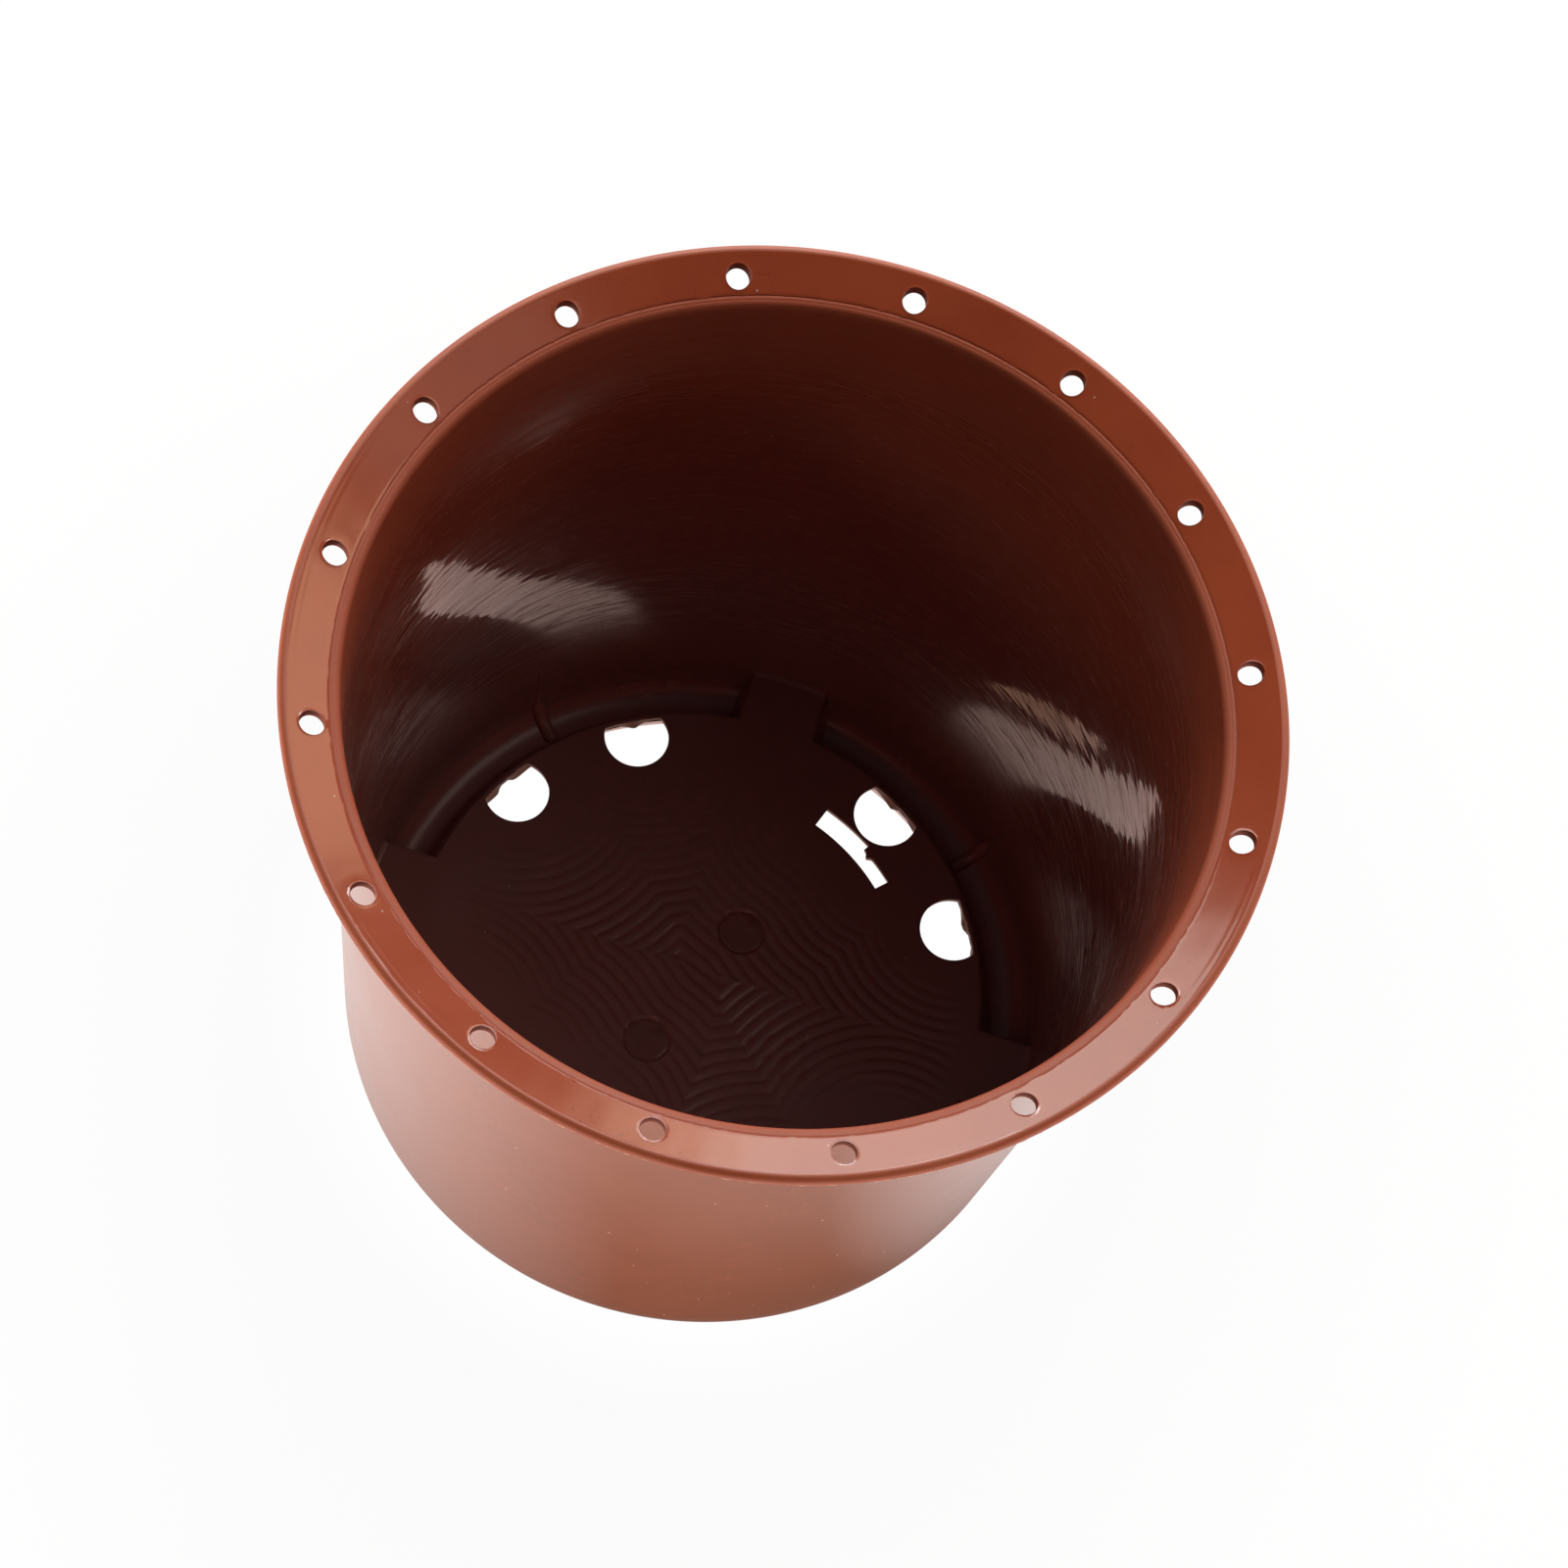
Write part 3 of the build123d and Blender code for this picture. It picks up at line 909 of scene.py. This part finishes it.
flange = Moulding()
flash_face, bore_face, edge_face = 1, 2, 3
line_rows = (line_radius - flange_row_step, line_radius, line_radius + flange_row_step)
lattice_radii = np.sort([*np.arange(*flange_rows, flange_row_step), *line_rows])
lattice_turns = np.arange(-sector, sector, flange_turn_step)
flange_lattice = np.concatenate([
    on_circle(radius, lattice_turns + (index % 2) * flange_turn_step / 2)
    for index, radius in enumerate(lattice_radii)
])
inner_top, outer_top = witness_radius + witness_width, edge_path[0][0]
outer_under = edge_path[-1][0]
sectors = []
for inner, outer, hole, share in (
    (inner_top, outer_top, hole_edge[0][0], 1.0),
    (under_inner, outer_under, hole_radius, under_point_share),
):
    loops = [flange_sector(inner, outer), hole_loop(hole)]
    loose = flange_lattice[flange_grain.random(len(flange_lattice)) < share]
    loose = loose[on_sector(inner, outer, hole, loose_margin)(loose)]
    sectors.append(filled(loops, loose, on_sector(inner, outer, hole, 0.0)))
(corners, triangles, rings), (under_corners, under_triangles, under_rings) = sectors
for index in range(hole_count):
    turn = index * 2 * sector
    around = turned(corners, turn)
    face = flange.add_points(at_height(around, flange_face(around)))
    flange.add_faces(face[triangles].tolist())
    last = face[rings[1]]
    for ring_radius, lift in hole_edge[1:]:
        loop = turned(hole_loop(ring_radius), turn)
        row = flange.add_points(at_height(loop, flange_face(loop) + lift))
        flange.add_faces(between(last, row))
        last = row
    under_height = flange_top(np.hypot(*under_corners.T)) - flange_thickness
    face = flange.add_points(at_height(turned(under_corners, turn), under_height))
    flange.add_faces(face[under_triangles].tolist(), flip=True)
    flange.add_faces(between(last, face[under_rings[1]]), finish=bore_face)
edge_turns = np.linspace(-sector, 2 * pi - sector, flange_segments, endpoint=False)
flash = flash_length * flange_grain.random(flange_segments) ** flash_rarity
flash_row = len(edge_path) - 6
edge_rows = []
for index, (radius, height) in enumerate(edge_path):
    ring = on_circle(radius, edge_turns)
    hang = flash if index == flash_row else 0.0
    level = flange_face(ring) if index == 0 else height - hang
    edge_rows.append(flange.add_points(at_height(ring, level)))
for index, (lower, upper) in enumerate(zip(edge_rows, edge_rows[1:])):
    beside_flash = flash_row - 1 <= index <= flash_row
    flange.add_faces(between(lower, upper), finish=flash_face if beside_flash else edge_face)
seam_path = (
    (inner_top, flange_top(inner_top)),
    (witness_radius, witness_height - witness_depth),
    (witness_radius - seam_inset, witness_height - seam_drop),
    (under_inner, flange_top(under_inner) - flange_thickness),
)
chips = seam_chip * flange_grain.random((len(seam_path), flange_segments)) ** chip_rarity
chips[0] = chips[-1] = 0
seam_rows = [
    flange.add_points(at_height(on_circle(radius, edge_turns), height + chip))
    for (radius, height), chip in zip(seam_path, chips)
]
for lower, upper in zip(seam_rows, seam_rows[1:]):
    flange.add_faces(between(lower, upper))
flange_finish, tree, shader, _ = plastic(
    "flange_plastic", (0.258, 0.047, 0.018), (0.305, 0.060, 0.023),
    rough=0.15, dust_share=0.8, grain_depth=0.000006,
)
# Patches of small dark dirt, thick in a few places and absent in others.
dirt_colour = (0.06, 0.018, 0.011, 1)
patch_range, patch_push = (0.45, 0.72), (-0.15, 0.03)
dirt_range, dirt_share = (0.68, 0.74), 0.75
place = put(tree, "ShaderNodeTexCoord").outputs["Object"]
patch = put(tree, "ShaderNodeTexNoise", {"Vector": place, "Scale": 24.0, "Detail": 2.0}).outputs[0]
dirt = put(tree, "ShaderNodeTexNoise", {"Vector": place, "Scale": 1500.0, "Detail": 1.0}).outputs[0]
dirt = reckon(tree, "ADD", dirt, spread(tree, patch, *patch_range, *patch_push))
dirt = spread(tree, dirt, *dirt_range, 0.0, dirt_share)
clean = shader.inputs["Base Color"].links[0].from_socket
tree.links.new(tinted(tree, dirt, clean, dirt_colour), shader.inputs["Base Color"])
flash_finish, *_ = plastic(
    "flash_plastic", (0.40, 0.15, 0.09), (0.54, 0.30, 0.23),
    rough=0.5, dust_share=0.3, grain_depth=0.000006,
)
# The bores of the flange's holes are painted dark: painted shade inside the holes.
shaded_bore_finish, *_ = plastic(
    "bore_plastic_painted_shade", (0.15, 0.028, 0.011), (0.18, 0.034, 0.013),
    rough=0.8, dust_share=0.3, grain_depth=0.000006,
)
# The rounded outer edge is painted paler and more orange than the slope: a painted sheen along the edge.
sheened_edge_finish, *_ = plastic(
    "edge_plastic_painted_sheen", (0.305, 0.064, 0.025), (0.345, 0.078, 0.031),
    rough=0.5, dust_share=0.3, grain_depth=0.000006,
)
flange_piece = flange.piece("pierced_flange", [flange_finish, flash_finish, shaded_bore_finish, sheened_edge_finish])
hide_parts("rim_flange")


# Studio: a white table, soft lamps behind the pot, weaker ones in front of it, and a dim room. Rays
# that mirror the table find it painted white under the pot and to its left and right, mostly white away
# from it, and darker in the pot's shadow. Where they see it through the floor it is painted warm, orange
# under the slots: a painted warm bounce for the wall's reflections. Sizes in metres.
table_size = 6
under_pot, clear_of_pot, clear_share = (0.072, 0.082), (0.095, 0.17), 0.75
clear_left, clear_right = (0.005, -0.085), (0.06, 0.105)
seen_fade, seen_level = (0.075, 0.1), 0.955
through_slots, through_drains, drain_start = (0.9, 0.48, 0.3, 1), (1, 0.7, 0.62, 1), (0.046, 0.053)
painted_shade_grey, table_pale, painted_shade_run = (0.2, 0.2, 0.2, 1), (0.85, 0.85, 0.85, 1), (0.09, 0.2)
plain_white = (1, 1, 1, 1)
bpy.ops.mesh.primitive_plane_add(size=table_size)
table = bpy.context.object
table.name = "studio_table"
table_white = bpy.data.materials.new("table_white")
table_white.use_nodes = True
tree = table_white.node_tree
tree.nodes.clear()
rays = put(tree, "ShaderNodeLightPath").outputs
spot = put(tree, "ShaderNodeNewGeometry").outputs["Position"]
from_axis = put(tree, "ShaderNodeVectorMath", {0: spot}, operation="LENGTH").outputs["Value"]
aside = put(tree, "ShaderNodeSeparateXYZ", {0: spot}).outputs[0]
below = spread(tree, from_axis, *under_pot, 1.0, 0.0)
beyond = spread(tree, from_axis, *clear_of_pot, 0.0, clear_share)
left = spread(tree, aside, *clear_left, 0.0, 1.0)
right = spread(tree, aside, *clear_right, 0.0, 1.0)
mirrored = reckon(tree, "MAXIMUM", below, beyond)
mirrored = reckon(tree, "MAXIMUM", mirrored, reckon(tree, "MAXIMUM", left, right))
seen = reckon(tree, "MAXIMUM", rays["Is Camera Ray"], rays["Is Transmission Ray"])
seen = reckon(tree, "MULTIPLY", seen, spread(tree, from_axis, *seen_fade, 1.0, seen_level))
share = reckon(tree, "MAXIMUM", seen, reckon(tree, "MULTIPLY", rays["Is Glossy Ray"], mirrored))
# Painted warm bounce: mirrored rays under the pot find the table tinted warm, and orange under the
# slots.
painted_warm_bounce = reckon(tree, "MULTIPLY", rays["Is Glossy Ray"], below)
tint = tinted(tree, spread(tree, from_axis, *drain_start, 0.0, 1.0), through_slots, through_drains)
tint = tinted(tree, painted_warm_bounce, plain_white, tint)
# The table's own grey is painted darker near the pot: painted shade that cuts the light it throws back
# on the wall's foot.
painted_shade = tinted(tree, spread(tree, from_axis, *painted_shade_run, 0.0, 1.0), painted_shade_grey, table_pale)
lit = put(tree, "ShaderNodeBsdfDiffuse", {"Color": painted_shade})
white = put(tree, "ShaderNodeEmission", {"Color": tint, "Strength": 1.0})
mixed = put(tree, "ShaderNodeMixShader", {0: share, 1: lit.outputs[0], 2: white.outputs[0]})
put(tree, "ShaderNodeOutputMaterial", {0: mixed.outputs[0]})
table.data.materials.append(table_white)

world = bpy.data.worlds.new("studio_room")
bpy.context.scene.world = world
world.use_nodes = True
tree = world.node_tree
way = put(tree, "ShaderNodeTexCoord").outputs["Generated"]
axes = put(tree, "ShaderNodeSeparateXYZ", {0: way}).outputs
# The room is bright low down and dim overhead, and darker behind the camera.
room_inputs = {"Value": axes[2], "From Min": 0.08, "From Max": 0.5, "To Min": 0.9, "To Max": 0.08}
room_depth, dark_share = (-0.7, 0.2), 0.2
level = put(tree, "ShaderNodeMapRange", room_inputs, interpolation_type="SMOOTHSTEP").outputs[0]
level = reckon(tree, "MULTIPLY", level, spread(tree, axes[1], *room_depth, dark_share, 1.0))
room = tree.nodes["Background"]
room.inputs["Color"].default_value = plain_white
seen = put(tree, "ShaderNodeLightPath").outputs["Is Camera Ray"]
tree.links.new(reckon(tree, "MAXIMUM", level, seen), room.inputs["Strength"])


def softbox(name, place, aim, size, power, colour=(1, 1, 1), mirrored=True):
    """A soft lamp at a place, turned to a point of the pot, and kept out of mirrored rays if asked."""
    lamp = bpy.data.lights.new(name, "AREA")
    lamp.shape = "RECTANGLE"
    lamp.size, lamp.size_y = size
    lamp.energy = power
    lamp.color = colour
    made = bpy.data.objects.new(name, lamp)
    made.location = place
    made.rotation_mode = "QUATERNION"
    made.rotation_quaternion = (Vector(aim) - Vector(place)).to_track_quat("-Z", "Y")
    made.visible_camera = False
    made.visible_glossy = mirrored
    bpy.context.scene.collection.objects.link(made)


rim_middle, wall_middle = (0, 0, 0.175), (0, 0, 0.088)
softbox("softbox_back", (-0.362, 0.776, 0.73), rim_middle, (0.68, 0.46), 5.8, (1.0, 0.93, 0.86))
softbox("softbox_mid", (-0.009, 0.883, 0.644), rim_middle, (0.14, 0.22), 0.43, (1.0, 0.7, 0.5))
softbox("softbox_right", (0.525, 0.534, 0.838), rim_middle, (0.61, 0.3), 2.7, (1.0, 0.62, 0.42))
softbox("softbox_key", (0, 1.451, 1.552), rim_middle, (1.0, 0.24), 18.0)
softbox("softbox_low", (0, 0.9, 0.36), rim_middle, (0.9, 0.2), 2.2)
softbox("panel_right", (0.586, 0.125, 1.097), rim_middle, (0.5, 0.4), 0.55, (1.0, 0.85, 0.75))
warm_panel = (1.0, 0.95, 0.75)
softbox("panel_left", (-0.60, -0.72, 0.52), rim_middle, (0.4, 0.2), 0.8, warm_panel, mirrored=False)
softbox("strip_front", (-0.35, -0.52, 0.088), wall_middle, (0.9, 0.16), 2.4, mirrored=False)
softbox("strip_right", (0.58, -0.34, 0.088), wall_middle, (0.8, 0.16), 3.8, mirrored=False)
softbox("strip_left", (-0.66, -0.22, 0.088), wall_middle, (0.8, 0.16), 4.2, mirrored=False)

# Camera: high in front of the pot and rolled, as the photograph was taken. Its place was fitted to
# the ring of rim holes.
camera = bpy.data.cameras.new("photo_camera")
camera.lens = 105.432
camera.sensor_width = 36
camera_eye = Vector((-0.003537, -0.374173, 0.993130))
camera_aim = Vector((0.004476, -0.000096, 0.132329))
camera_roll = radians(18.784)
camera_object = bpy.data.objects.new("photo_camera", camera)
camera_object.location = camera_eye
camera_object.rotation_mode = "QUATERNION"
level_view = (camera_aim - camera_eye).to_track_quat("-Z", "Y")
camera_object.rotation_quaternion = level_view @ Quaternion((0, 0, 1), camera_roll)
bpy.context.scene.collection.objects.link(camera_object)
bpy.context.scene.camera = camera_object
bpy.context.scene.view_settings.view_transform = "Standard"
